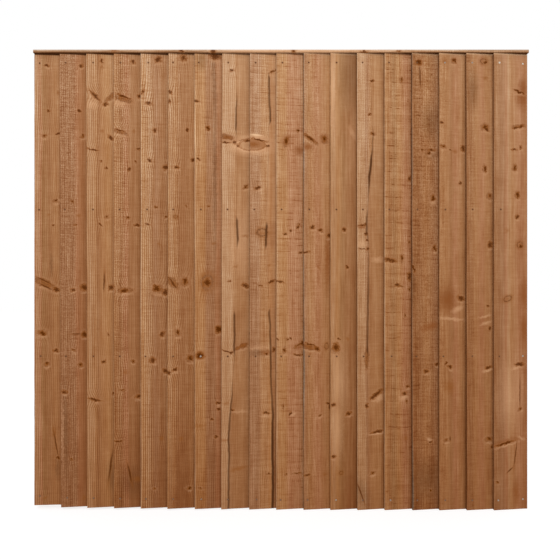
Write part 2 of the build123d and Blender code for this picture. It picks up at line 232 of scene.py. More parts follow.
# From left to right
BOARDS = (
    Timber(
        tones={0: "pinkish", 8: "straw", 24: "pinkish", 32: "olive", 56: "umber", 76: "tan", 110: "russet"},
        rich=0.12, sawn=30, rings=(-70, 30, 7, 0.01, 0.75), rough=0.4, hatch=0.3, edge=0.2, top=1.0,
        shade=[(62, 905, 4, 30, 2), (86, 155, 7, 32)], pale=[(88, 1146, 5, 5)],
        faint=[(88, 1545, 5, 6), (51, 1092, 5, 4), (73, 286, 5, 14, 5), (40, 41, 8, 4, 20)],
        live=[
            (36, 1383, 9, 7), (78, 1143, 10, 7, -10), (67, 1055, 6, 5), (40, 836, 40, 13, -27),
            (28, 654, 17, 11), (46, 538, 11, 8, 25),
        ],
        crack=[(36, 848, 30, 2.5, -27), (44, 824, 28, 3, -27), (78, 243, 2.6, 50, 10)],
        dead=[
            (46, 1645, 8, 5), (53, 1478, 7, 5), (84, 1393, 8, 4, 10), (80, 814, 13, 9, -15),
            (33, 650, 8, 6), (79, 588, 10, 7), (87, 190, 7, 5),
        ],
    ),
    Timber(
        tones={0: "mauve", 48: "mauve", 62: "pinkish", 76: "russet", 92: "chestnut", 130: "chestnut"},
        rich=0.13, sawn=60, rings=(-60, 30, 7, 0.01, 0.5), rough=1.0, hatch=0.3, weave=1.0, chatter=0.3,
        pitch=15.6, edge=0.2, edge_tone="mauve", wane_tone="russet", top=0.95,
        wane=[(0, 62, 0.1), (600, 66, 0.2), (1100, 64, 0.1), (1700, 68, 0.1)], shade=[(18, 290, 6, 130, 1)],
        gleam=[(6, 290, 3, 110)], faint=[(67, 1089, 6, 5), (83, 42, 8, 6, 40)],
        live=[
            (82, 1385, 11, 7, 40), (44, 1140, 9, 4, -45), (54, 1055, 5, 5, -40), (47, 589, 9, 5, -35),
            (71, 536, 9, 9, 30), (37, 186, 7, 5, -20),
        ],
        crack=[(62, 650, 24, 2)],
        dead=[
            (76, 1645, 8, 7), (69, 1477, 7, 6, 20), (86, 822, 14, 14, 25), (44, 813, 9, 6),
            (86, 648, 12, 12, 30), (13, 436, 11, 7, -10),
        ],
    ),
    Timber(
        tones={0: "tan", 10: "straw", 32: "tan", 42: "umber", 54: "tan", 76: "golden", 108: "umber"},
        rich=0.1, sawn=44, rings=(200, 30, 7, 0.01, 0.75), rough=0.35, hatch=0.25, edge=0.2,
        edge_tone="cream", top=0.95,
        shade=[(86, 120, 12, 40)], pale=[(22, 1500, 14, 12, -30)],
        faint=[(57, 1640, 4, 12), (54, 1401, 5, 5)],
        live=[
            (84, 1526, 32, 7, 46), (51, 1289, 6, 5, -40), (70, 1264, 7, 5, 40), (73, 1084, 8, 6, 30),
            (76, 647, 5, 7), (96, 429, 9, 6, 30),
        ],
        crack=[(62, 843, 3.5, 36, -2), (84, 161, 4, 60, -8)],
        dead=[
            (56, 1661, 6, 9), (31, 1530, 28, 6, -46), (33, 1531, 11, 8, -40), (68, 1500, 9, 6, 20),
            (86, 1378, 12, 6, -45), (25, 1331, 22, 4, -9), (50, 1055, 8, 4, -40), (87, 822, 9, 12, -25),
            (61, 549, 7, 9, -35), (28, 407, 30, 4, -12), (34, 405, 8, 5),
        ],
    ),
    Timber(
        tones={
            0: "tan", 28: "umber", 46: "pinkish", 60: "umber", 78: "umber", 92: "chestnut", 130: "chestnut",
        },
        rich=0.08, damp=0.15, sawn=54, rings=(190, 30, 7, 0.01, 0.7), rough=1.0, hatch=0.3, weave=1.0,
        chatter=0.25, pitch=15.6, edge=0.2, edge_tone="straw", top=0.9,
        wane=[(0, 54, 0.15), (500, 50, 0.2), (1000, 53, 0.1), (1700, 62, 0.1)],
        shade=[(60, 116, 14, 30, 20), (62, 100, 30, 40)], pale=[(20, 1500, 16, 9, -10)],
        faint=[(71, 1401, 5, 4), (43, 508, 8, 8), (84, 112, 16, 8)],
        live=[
            (34, 1520, 29, 11, -18), (25, 1396, 23, 7, -18), (77, 1289, 7, 5, -40), (51, 1081, 8, 6, 20),
            (39, 812, 27, 10, 5), (68, 549, 10, 6, -35), (30, 443, 12, 4),
        ],
        crack=[(56, 136, 4, 38, 12)],
        dead=[
            (69, 1659, 8, 8), (36, 1529, 27, 4, -18), (92, 1532, 11, 8, 10), (22, 1403, 20, 3, -14),
            (90, 1335, 11, 4), (56, 1260, 6, 7, 20), (82, 1054, 11, 5), (38, 810, 13, 7, 15),
            (88, 418, 13, 8, 10), (16, 254, 16, 4),
        ],
    ),
    Timber(
        tones={
            0: "straw", 8: "golden", 34: "straw", 44: "umber", 54: "mauve", 78: "umber", 98: "umber",
            112: "chestnut",
        },
        rich=0.08, damp=0.1, sawn=44, rings=(-50, 25, 7, 0.01, 1.0), rough=0.7, hatch=0.4, weave=0.5,
        chatter=0.4, pitch=23.6, edge=0.6, edge_tone="cream", top=0.85,
        faint=[(66, 984, 5, 4), (75, 262, 7, 6)],
        live=[(55, 1120, 6, 6), (91, 1084, 9, 5, 30), (62, 816, 18, 15), (50, 78, 7, 6)],
        dead=[
            (62, 1667, 13, 13, 20), (8, 1546, 6, 10), (28, 1504, 10, 6, -25), (51, 1404, 8, 8),
            (33, 1292, 9, 5, -35), (90, 1267, 10, 10, 45), (24, 1057, 9, 4, -10), (57, 819, 12, 12),
            (90, 804, 12, 12, 40), (79, 650, 9, 12, -30), (43, 553, 12, 11, -20), (90, 513, 9, 10, 20),
        ],
    ),
    Timber(
        tones={0: "golden", 10: "straw", 26: "tan", 40: "umber", 72: "umber", 88: "tan", 100: "umber"},
        rich=0.11, damp=0.15, sawn=42, rings=(-60, 25, 7, 0.01, 0.8), rough=0.6, hatch=0.4, weave=0.4,
        edge_tone="straw", top=0.6,
        faint=[(50, 262, 6, 6)],
        live=[
            (66, 1123, 5, 5), (18, 838, 25, 14, -52), (62, 843, 14, 16), (37, 655, 11, 14, 20),
            (81, 560, 14, 13), (79, 78, 9, 6),
        ],
        ring=[(28, 1084, 8, 7)], crack=[(16, 844, 20, 3, -52), (22, 832, 20, 3, -50)],
        dead=[
            (55, 1672, 11, 12), (7, 1543, 10, 6, -30), (4, 1510, 6, 8), (69, 1406, 6, 7), (31, 1267, 9, 5),
            (90, 1296, 7, 7), (62, 848, 9, 7), (27, 519, 12, 6, 22), (84, 556, 9, 6, -20),
            (4, 508, 8, 9, 30),
        ],
    ),
    Timber(
        tones={
            0: "straw", 8: "golden", 34: "golden", 46: "mauve", 72: "mauve", 84: "pinkish", 100: "russet",
        },
        rich=0.09, damp=0.1, sawn=80, rings=(180, 30, 7, 0.01, 0.4), rough=0.25, hatch=0.7, weave=0.3,
        chatter=0.4, pitch=23.6, edge=0.6, edge_tone="cream", top=0.85,
        shade=[(24, 1665, 14, 28), (74, 1560, 6, 130, 2), (75, 1230, 6, 200)], stain=[(22, 571, 13, 12)],
        # The rim down the thick edge is pale worn wood and a painted highlight on its arris
        rim=[(1.5, 1398, 2.2, 62)], faint=[(69, 985, 5, 5), (16, 310, 14, 4)],
        live=[(52, 1123, 6, 6), (21, 80, 6, 6)], ring=[(46, 842, 24, 30, -15)],
        crack=[(49, 1413, 7, 7), (88, 667, 12, 12), (20, 571, 13, 12)],
        dead=[
            (76, 1679, 20, 14, -8), (6, 1511, 13, 5, -8), (49, 1412, 8, 8), (15, 1296, 8, 5, -20),
            (46, 841, 14, 17, -20), (88, 666, 13, 14), (20, 571, 14, 13), (87, 393, 10, 5), (88, 371, 6, 5),
            (63, 333, 6, 6), (77, 268, 7, 7),
        ],
    ),
    Timber(
        tones={0: "straw", 6: "straw", 34: "straw", 50: "tan", 84: "tan", 104: "umber"},
        rich=0.02, sawn=60, rings=(-70, 30, 7, 0.01, 0.4), rough=0.3, hatch=0.5, weave=0.3,
        edge_tone="cream", top=0.6,
        wane=[
            (0, 27, 0.9), (260, 27, 0.9), (400, 36, 0.8), (480, 42, 0.2), (560, 45, 0.3), (590, 46, 0.9),
            (720, 46, 0.9), (740, 47, 0.1), (960, 54, 0.1), (1000, 57, 1.0), (1070, 56, 1.0),
            (1090, 54, 0.1), (1380, 52, 0.2), (1420, 51, 0.9), (1500, 52, 0.7), (1560, 53, 0.1),
            (1700, 53, 0.05),
        ],
        stain=[(24, 1372, 26, 11, -8), (76, 605, 22, 8, 25)], gleam=[(64, 990, 28, 80), (66, 361, 24, 4)],
        eye=[(110, 1350, 56, 24)],
        faint=[
            (88, 1013, 12, 4), (53, 900, 8, 3, 20), (17, 393, 10, 4), (12, 258, 14, 4),
            (60, 150, 30, 5, 12),
        ],
        live=[
            (20, 1378, 22, 8, -12), (92, 1372, 26, 4, 10), (87, 1195, 13, 6, 38), (28, 846, 7, 4, 30),
            (72, 603, 28, 7, 25),
        ],
        dead=[
            (36, 1625, 10, 4, 20), (16, 1358, 19, 3), (47, 1358, 6, 7), (58, 1348, 5, 5),
            (100, 1368, 16, 3, 12), (89, 829, 15, 8, -25), (18, 587, 20, 4, -14), (34, 581, 6, 5),
            (40, 369, 8, 4),
        ],
    ),
    Timber(
        tones={0: "mauve", 6: "mauve", 34: "mauve", 50: "tan", 66: "tan", 78: "amber", 96: "tan"},
        rich=-0.02, sawn=70, rings=(190, 30, 7, 0.01, 0.3), rough=0.5, hatch=0.8, weave=0.5, chatter=0.3,
        pitch=23.6, edge=0.5, edge_tone="umber", side=0.8, wane_tone="russet", top=0.6,
        wane=[
            (0, 87, 1.2), (240, 85, 1.2), (350, 86, 1.0), (400, 82, 0.9), (560, 78, 0.9), (730, 73, 0.9),
            (750, 73, 0.1), (960, 60, 0.1), (980, 60, 1.0), (1050, 61, 1.0), (1070, 61, 0.1),
            (1420, 70, 0.2), (1440, 74, 0.9), (1600, 68, 0.9), (1620, 67, 0.1), (1700, 67, 0.05),
        ],
        shade=[(36, 580, 34, 9)], stain=[(22, 1355, 44, 19, -4), (30, 1360, 28, 11, -8), (62, 580, 16, 8)],
        pale=[(28, 1381, 24, 4, -4)], gleam=[(36, 600, 34, 6), (58, 345, 16, 4)],
        rim=[(22, 1386, 17, 2.4, -3)], eye=[(10, 1350, 56, 24)],
        faint=[(16, 1352, 38, 15, -3), (72, 905, 7, 5, 40)],
        live=[(84, 1624, 16, 4, 25), (38, 829, 11, 4, -30), (73, 132, 11, 4)], ring=[(46, 1026, 22, 16)],
        dead=[
            (34, 1368, 30, 3.6, -12), (66, 1347, 6, 5), (29, 1191, 14, 6, 25), (82, 845, 16, 4, 20),
            (62, 577, 8, 5), (89, 592, 7, 11), (64, 358, 15, 5, -8),
        ],
    ),
    Timber(
        tones={0: "straw", 12: "golden", 34: "golden", 50: "pinkish", 86: "pinkish", 104: "tan"},
        sawn=110, rings=(-80, 30, 7, 0.01, 0.3), rough=0.25, hatch=0.6, weave=0.2, dashes=0.7, chatter=0.65,
        pitch=23.6, edge=0.4, edge_tone="straw", side=0.1, top=0.4,
        stain=[(38, 1364, 13, 19, -10), (86, 1331, 14, 14), (88, 1329, 9, 10), (84, 606, 18, 9, 32)],
        pale=[(60, 352, 6, 9, -40)],
        live=[
            (37, 1362, 10, 18, -10), (80, 1403, 4, 6), (84, 1056, 5, 8, -30), (42, 632, 4, 6),
            (31, 590, 8, 12), (82, 608, 20, 4, 32), (27, 384, 5, 9), (78, 133, 19, 4), (37, 131, 6, 4),
        ],
        dead=[
            (37, 1366, 8, 12, -10), (33, 1019, 9, 5, -20), (54, 1033, 5, 5), (78, 1045, 6, 6, 20),
            (12, 845, 18, 4, -10), (89, 951, 9, 4, 10), (5, 631, 4, 7), (53, 634, 4, 5), (80, 573, 17, 5),
            (97, 615, 6, 9), (52, 355, 5, 9, -30),
        ],
    ),
    Timber(
        tones={0: "slate", 4: "mauve", 24: "tan", 52: "pinkish", 84: "tan", 104: "amber"},
        rich=0.06, sawn=60, rings=(52, 14, 9, 0.05, 0.14), rough=0.5, hatch=0.4, weave=0.5, dashes=0.4,
        side=0.9, cloud=0.8, top=-0.3,
        stain=[
            (15, 1341, 17, 10), (20, 1344, 12, 7), (77, 1370, 12, 15), (90, 930, 9, 85),
            (30, 604, 34, 11, -12),
        ],
        faint=[(57, 893, 4, 5), (82, 131, 8, 4)],
        live=[
            (26, 1370, 34, 8, -35), (77, 1372, 12, 15, 20), (64, 1033, 11, 7, -15), (26, 602, 30, 10, -12),
            (62, 349, 8, 5, 40),
        ],
        ring=[(86, 605, 8, 13)], crack=[(97, 380, 3, 12)],
        dead=[
            (24, 1373, 28, 5, -34), (34, 1046, 9, 8, 25), (97, 1015, 13, 8, 20), (10, 954, 15, 4, 15),
            (28, 612, 26, 3, -14), (52, 594, 11, 9, -45), (91, 393, 9, 4, -10), (15, 129, 12, 4, 12),
        ],
    ),
    Timber(
        tones={0: "golden", 12: "straw", 26: "golden", 44: "olive", 70: "umber", 92: "chestnut"},
        rich=0.08, damp=0.1, sawn=20, rings=(60, 12, 9, 0.05, 0.12), rough=0.15, edge=0.4,
        edge_tone="straw", side=0.25, cloud=1.0, top=-0.3,
        shade=[(84, 1610, 32, 100)], pale=[(8, 1560, 7, 120)],
        gleam=[(84, 1394, 7, 22, 28), (34, 480, 22, 90), (26, 300, 16, 90)], faint=[(65, 632, 5, 5)],
        live=[(20, 598, 16, 20)], ring=[(41, 136, 8, 7, 20)],
        dead=[
            (52, 1036, 8, 8), (63, 897, 5, 8), (21, 602, 13, 15), (32, 634, 5, 5), (11, 388, 9, 7),
            (70, 355, 12, 6, 20), (11, 197, 9, 7),
        ],
    ),
    Timber(
        tones={0: "straw", 26: "straw", 38: "mauve", 54: "tan", 86: "golden", 104: "chestnut"},
        rich=0.06, sawn=60, rings=(-70, 30, 7, 0.01, 0.3), rough=0.6, hatch=0.5, weave=0.3, dashes=0.3,
        edge=0.4, edge_tone="cream", side=0.45, top=-0.2,
        wane=[
            (0, 34, 0.1), (200, 36, 0.1), (560, 37, 0.1), (590, 38, 0.9), (800, 41, 0.8), (980, 42, 0.3),
            (1030, 35, 0.9), (1080, 36, 0.8), (1120, 40, 0.2), (1180, 44, 0.7), (1230, 44, 1.2),
            (1290, 52, 1.1), (1350, 58, 0.5), (1387, 61, 0.6), (1420, 56, 0.2), (1500, 52, 0.1),
            (1700, 56, 0.1),
        ],
        shade=[(16, 64, 18, 46, 20)], stain=[(18, 1046, 13, 7)],
        pale=[(18, 985, 12, 10), (78, 925, 17, 8), (84, 410, 12, 7, 30), (70, 280, 22, 3, 8)],
        live=[(47, 1463, 9, 5), (60, 1392, 10, 6), (36, 560, 8, 36), (58, 134, 12, 5, 20)],
        crack=[(14, 62, 3, 42, 20)],
        dead=[
            (56, 1587, 7, 5), (17, 1051, 15, 2.6, 5), (32, 1056, 6, 6), (35, 1021, 6, 6), (38, 997, 5, 5),
            (40, 966, 6, 7), (20, 965, 15, 2.2, -4), (37, 384, 7, 9, 20), (74, 428, 32, 8, 38),
            (58, 415, 12, 8, 20), (74, 288, 26, 5, 10),
        ],
    ),
    Timber(
        tones={0: "straw", 6: "golden", 18: "tan", 34: "olive", 54: "golden", 78: "pinkish", 104: "russet"},
        rich=0.08, sawn=110, rings=(200, 30, 7, 0.01, 0.3), rough=0.4, hatch=0.6, weave=0.3, dashes=1.0,
        chatter=1.0, edge=0.6, edge_tone="cream", side=0.2, top=0.4,
        pale=[(72, 412, 14, 8)], faint=[(80, 264, 5, 6)],
        live=[
            (64, 1591, 7, 12), (67, 931, 7, 15), (64, 826, 10, 3, -10), (78, 719, 4, 8), (96, 815, 5, 10),
            (84, 400, 6, 9),
        ],
        dead=[
            (95, 1226, 8, 13), (20, 924, 24, 8, -12), (50, 832, 10, 8), (95, 990, 6, 7), (95, 862, 7, 16),
            (75, 430, 10, 7), (88, 455, 8, 6),
        ],
    ),
    Timber(
        tones={0: "slate", 6: "umber", 14: "chestnut", 32: "umber", 52: "tan", 74: "umber", 100: "mauve"},
        rich=0.13, damp=0.03, sawn=110, rings=(-80, 30, 7, 0.01, 0.25), rough=0.8, hatch=0.5, weave=0.4,
        dashes=0.8, chatter=0.4, pitch=15.6, edge=0.9, edge_tone="umber", cloud=0.9, top=-0.3,
        shade=[
            (74, 1440, 26, 50), (74, 1400, 10, 7, 30), (74, 1316, 17, 14), (4, 840, 6, 60),
            (60, 110, 40, 50),
        ],
        stain=[(72, 678, 28, 12, 18)], pale=[(24, 1664, 6, 3), (66, 258, 9, 6, -20)],
        faint=[(62, 376, 4, 4)], live=[(79, 1154, 10, 14, -15), (85, 969, 9, 14, -15)],
        crack=[(26, 1654, 11, 10), (31, 1605, 3, 44, 2)],
        dead=[
            (26, 1655, 12, 11), (38, 1330, 5, 6), (74, 1330, 13, 5), (66, 1320, 8, 5, -30),
            (80, 1150, 6, 8), (87, 964, 6, 8), (5, 893, 4, 20, 18), (53, 512, 11, 7), (93, 538, 8, 8),
            (72, 251, 6, 4), (68, 71, 5, 6),
        ],
    ),
    Timber(
        tones={0: "tan", 30: "tan", 48: "umber", 62: "pinkish", 86: "tan", 104: "chestnut"},
        rich=0.1, sawn=25, rings=(48, 16, 9, 0.04, 0.1), rough=0.5, hatch=0.4, dashes=0.6, edge=0.2,
        cloud=1.0, top=-0.4,
        shade=[(34, 780, 18, 24)], stain=[(30, 775, 28, 34), (36, 782, 18, 22)],
        pale=[(45, 706, 38, 4, -6), (70, 742, 18, 7, 25)],
        faint=[(19, 1660, 9, 9), (58, 1326, 9, 6), (40, 455, 16, 20)],
        live=[(55, 1662, 10, 11), (14, 1343, 11, 9), (26, 542, 7, 7), (25, 259, 10, 7, 20)],
        crack=[(42, 263, 3, 9)],
        dead=[
            (61, 1660, 5, 9, 20), (10, 1432, 7, 7, 20), (92, 1338, 9, 12), (42, 1331, 7, 3),
            (80, 1210, 5, 6), (83, 782, 16, 9, -25), (41, 528, 10, 8, -42),
        ],
    ),
    Timber(
        tones={0: "umber", 16: "umber", 34: "tan", 60: "pinkish", 74: "tan", 92: "tan", 104: "umber"},
        rich=0.12, sawn=30, rings=(50, 26, 8, 0.03, 0.1), rough=0.45, hatch=0.5, dashes=0.5, edge=0.2,
        side=0.55, cloud=0.8, top=-0.5,
        shade=[(26, 1552, 16, 50)], pale=[(72, 715, 18, 4, 10), (76, 690, 16, 4, 15), (78, 514, 14, 4, 10)],
        faint=[(74, 1597, 8, 6)],
        live=[(71, 1417, 16, 12), (71, 1262, 9, 14), (89, 1162, 10, 13), (85, 260, 14, 10, 15)],
        ring=[(66, 1660, 14, 11)],
        dead=[
            (74, 1656, 6, 5), (78, 1408, 12, 6, -30), (74, 1258, 5, 7), (91, 980, 10, 13), (83, 752, 5, 6),
            (89, 670, 7, 9), (84, 526, 15, 6, 15), (98, 232, 4, 8),
        ],
    ),
    Timber(
        tones={
            0: "umber", 34: "mauve", 48: "pinkish", 56: "straw", 66: "tan", 100: "pinkish", 122: "russet",
        },
        rich=0.07, sawn=20, rings=(70, 20, 9, 0.03, 0.1), rough=0.35, hatch=0.3, edge_tone="mauve",
        side=0.4, cloud=0.6, top=-0.5,
        stain=[
            (110, 1540, 22, 10, -28), (108, 1525, 16, 30), (112, 1560, 12, 30), (116, 790, 14, 44),
            (115, 668, 11, 46), (117, 655, 8, 34), (46, 248, 50, 9, 16), (88, 60, 8, 30),
        ],
        pale=[(84, 524, 12, 5, 20), (50, 238, 38, 3, 15), (104, 264, 12, 4, -30)],
        gleam=[(62, 420, 36, 90)], faint=[(50, 1033, 8, 6)],
        live=[
            (96, 1420, 26, 7, 6), (80, 1266, 10, 13), (91, 1166, 10, 14), (102, 370, 10, 5, 35),
            (12, 103, 10, 4, -30),
        ],
        ring=[(101, 980, 13, 13), (53, 781, 18, 11, 25)],
        crack=[(101, 433, 2, 60), (84, 205, 2.4, 50, -8), (62, 146, 16, 2.4, 40)],
        dead=[
            (98, 1548, 26, 5, -20), (86, 1414, 12, 4, 12), (106, 1420, 9, 6, 20), (104, 1342, 8, 7, 30),
            (78, 1334, 12, 4), (82, 1262, 6, 7, 20), (93, 1162, 5, 9), (89, 1084, 9, 8, -30),
            (106, 976, 6, 8), (98, 537, 18, 7), (42, 245, 40, 4.5, 15),
        ],
    ),
)

# Places of the mesh's columns about a nail, the bark side's edge and an arris
NAIL_OFFSETS = (-4.6, -3.7, -2.4, 0, 2.4, 3.7, 4.6)
WANE_OFFSETS = (-1.6, -0.2, 1.2, 4.5)
CORNER_OFFSETS = (0, 1.2)
BACK_COLUMNS = 11
SECTION_STEP = 6
LEAST_COLUMN = 0.8
LEAST_ROW = 0.3
ROW_CLEARANCE = 2.5
DRIFT_CELLS = 97
# Between one nail of a node and the next, at least; how deep a head can lie in its own board
NAIL_GAP = 10
HEAD_DEPTH = 2
# Distances that mean none near: no wane on the board, no nail, no board that laps over the last one
PAST_BOARD = 60
FAR_FROM_NAILS = 30
LAST_GAP = 200
# From a nail's middle, a dent's floor and rim, then the reach of the painted shade round the dent;
# how near to the next board the painted shade on this one reaches
DENT = (3.3, 4.4)
NAIL_DENT_SHADE = (3.0, 4.2)
SHADED_GAP = (0.4, 3.0)
# How the tones run across and the damp, the dark and the pale up a board, and how the saw leaned and stepped
BOARD_RUN = 130
DAMP_FOOT = 420
# Bands along a board's top under the capping strip: painted shade, and painted light that thins the shade
# there
PAINTED_SHADE_UNDER_CAP = (PANEL_TALL - 17, PANEL_TALL - 14.5)
PAINTED_LIGHT_UNDER_CAP = (PANEL_TALL - 20, PANEL_TALL - 13)
SAW_TILT = 0.02
FINE_SAW_PITCH = 8.5


def drift(seed, across, along):
    """Smooth seeded unevenness from -1 to 1. across and along count its waves."""
    lattice = np.random.default_rng(seed).uniform(-1, 1, (DRIFT_CELLS, DRIFT_CELLS))
    a, b = np.floor(across).astype(int), np.floor(along).astype(int)
    s, t = across - a, along - b
    s, t = s * s * (3 - 2 * s), t * t * (3 - 2 * t)
    a, b, after_a, after_b = (n % DRIFT_CELLS for n in (a, b, a + 1, b + 1))
    low = lattice[a, b] * (1 - s) + lattice[after_a, b] * s
    high = lattice[a, after_b] * (1 - s) + lattice[after_a, after_b] * s
    return low * (1 - t) + high * t


def waver(seed, height, wave):
    """Smooth seeded unevenness along a piece, in waves of a length."""
    return drift(seed, 0 * height, height / wave)


def rise(value, low, high):
    """Smooth step from 0 at low to 1 at high."""
    t = np.clip((value - low) / (high - low), 0, 1)
    return t * t * (3 - 2 * t)


def points_of(node):
    """A CAD node's points in millimetres."""
    return np.array([v.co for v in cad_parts[node].data.vertices]) * MM


def nails_of(node, axis):
    """Each nail of a node as (middle of its head, length), from left to right. It is driven along axis."""
    points = points_of(node)
    points = points[np.argsort(points[:, 0])]
    breaks = np.flatnonzero(np.diff(points[:, 0]) > NAIL_GAP) + 1
    found = []
    for nail in np.split(points, breaks):
        low, high = nail.min(0), nail.max(0)
        middle = (low + high) / 2
        middle[axis] = low[axis] if axis == 1 else high[axis]
        found.append((middle, high[axis] - low[axis]))
    return found


class BoardFrame:
    """Where a feather-edge board lies, read from its CAD node."""

    def __init__(self, node):
        points = points_of(node)
        self.foot, self.top = points[:, 2].min(), points[:, 2].max()
        ends = [points[np.abs(points[:, 2] - z) < 0.01] for z in (self.foot, self.top)]
        self.thick_x = [end[:, 0].min() for end in ends]
        self.width = ends[0][:, 0].max() - self.thick_x[0]
        thick = ends[0][ends[0][:, 0] < self.thick_x[0] + 0.1][:, 1]
        thin = ends[0][ends[0][:, 0] > self.thick_x[0] + self.width - 0.1][:, 1]
        self.front = thick.min(), thin.min()
        self.back = thick.max(), thin.max()

    def left(self, height):
        """X of the thick edge at a height."""
        return np.interp(height, (self.foot, self.top), self.thick_x)

    def front_y(self, across):
        """Y of the face."""
        return self.front[0] + (self.front[1] - self.front[0]) * across / self.width

    def thickness(self, across):
        """How far the back lies behind the face."""
        return self.back[0] + (self.back[1] - self.back[0]) * across / self.width - self.front_y(across)

    def own_nails(self):
        """(across, height) of each nail whose head is in this board."""
        found = []
        for node in NAIL_NODES:
            for head, _ in nails_of(node, 1):
                across = head[0] - self.left(head[2])
                depth = head[1] - self.front_y(across)
                if 0 < across < self.width and 0 < depth < HEAD_DEPTH:
                    found.append((across, head[2]))
        return sorted(found, key=lambda nail: nail[1])


def row_heights(board, nails, step):
    """Heights of the mesh's rows, closer together at each nail."""
    even = np.linspace(board.foot, board.top, round((board.top - board.foot) / step) + 1)
    extra = [height + offset for _, height in nails for offset in NAIL_OFFSETS]
    extra = [height for height in extra if board.foot + 1 < height < board.top - 1]
    keep = [z for z in even[1:-1] if all(abs(z - e) > ROW_CLEARANCE for e in extra)]
    merged = np.array(sorted([board.foot, board.top, *extra, *keep]))
    return merged[np.concatenate(([True], np.diff(merged) > LEAST_ROW))]


def column_places(groups, step):
    """Across places, row by row. Each group of columns keeps to its path, and the rest are spaced between."""
    columns = []
    for path, offsets in groups:
        if columns:
            path = np.maximum(path, columns[-1] + LEAST_COLUMN - offsets[0])
            gap = path + offsets[0] - columns[-1]
            fill = max(math.ceil(gap.mean() / step) - 1, 0)
            start = columns[-1]
            columns += [start + gap * (k + 1) / (fill + 1) for k in range(fill)]
        columns += [path + offset for offset in offsets]
    return np.array(columns).T


def face_columns(board, nails, heights, arris, wane, timber, step):
    """Places across a face for the columns of its mesh, which follow its edges, its nails and its wane."""
    lines = {}
    for across, height in nails:
        lines.setdefault(across > board.width / 2, []).append((height, across))
    groups = [(np.interp(heights, *zip(*line)), NAIL_OFFSETS) for line in lines.values()]
    if timber.wane:
        groups.append((wane, WANE_OFFSETS))
    groups.sort(key=lambda group: group[0].mean())
    corner = board.width - arris * 0.7, (-CORNER_OFFSETS[1], 0)
    return column_places([(arris, CORNER_OFFSETS), *groups, corner], step)


def wane_line(board, timber, heights, seed):
    """(place across, darkness) of the bark side's edge at each height, past the board where it has none."""
    if not timber.wane:
        return np.full(heights.shape, float(board.width + PAST_BOARD)), np.zeros(heights.shape)
    places = zip(*timber.wane)
    wane_heights = next(places)
    line, darkness = (np.interp(heights, wane_heights, values) for values in places)
    return line + 1.6 * waver(seed + 4, heights, 38) + 0.7 * waver(seed + 5, heights, 11), darkness


def face_sink(board, timber, seed, sizes, across, height, beyond, dark, near):
    """How far each point of the sawn face lies below the board's plane."""
    sink = sizes.unevenness * 0.5 * (1 + drift(seed + 6, across / 60, height / 260))
    sink = sink + 0.12 * (1 + drift(seed + 7, across / 12, height / 40))
    chatter = 0.5 - 0.5 * np.cos(2 * math.pi * (height + SAW_TILT * across) / timber.pitch)
    sawn = 1 - rise(beyond, -1, 1)
    sink = sink + (0.15 + timber.chatter) * sizes.saw_depth * chatter * sawn
    if timber.wane:
        drop = 0.55 * rise(beyond, -0.6, 1.0) + 0.45 * rise(beyond, 0, 18)
        notch = np.exp(-((beyond - 0.2) / 1.3) ** 2)
        sink = sink + sizes.wane_drop * (0.3 + 0.6 * dark) * drop + dark * notch
    edge_keep = rise(across, 0, 6) * rise(board.width - across, 0, 6)
    return sink * (0.35 + 0.65 * edge_keep) + sizes.dent_depth * (1 - rise(near, *DENT))


def other_sides(board, heights, arris, seed):
    """The thin edge, back and thick edge, row by row, as (across, height, depth behind the face's plane)."""
    bow = 0.35 * (1 + waver(seed + 8, heights, 160)) + 0.15 * (1 + waver(seed + 9, heights, 22))
    width, thick, thin = board.width, board.thickness(0), board.thickness(board.width)
    outline = [
        (width - arris * 0.2, arris * 0.2), (width, arris * 0.7),
        (width, thin - arris * 0.5), (width - arris * 0.5, thin),
        *((u, board.thickness(u)) for u in np.linspace(width - 8, 6, BACK_COLUMNS)),
        (arris * 0.6, thick), (bow, thick - arris * 0.6), (bow, thick * 0.62), (bow, thick * 0.3),
        (bow, arris), (bow + arris * 0.3, arris * 0.3),
    ]
    return np.stack([np.stack(np.broadcast_arrays(u, heights, w), -1) for u, w in outline], 1)


def ring_field(across, height, depth, timber, seed):
    """The growth ring coordinate in millimetres: distance from the pith, bent round each knot."""
    pith, under, _, taper, _ = timber.rings
    field = np.hypot(across - pith - 5 * waver(seed, height, 520), depth + under) - taper * height
    field = field + 1.6 * drift(seed + 1, across / 34, height / 260)
    for x, z, wide, tall, *_ in (mark for kind in RING_BENDERS for mark in getattr(timber, kind)):
        away = ((across - x) / (wide + 9)) ** 2 + ((height - z) / (tall * 2 + 16)) ** 2
        field = field + 0.8 * min(wide, 12) * np.exp(-away)
    return field


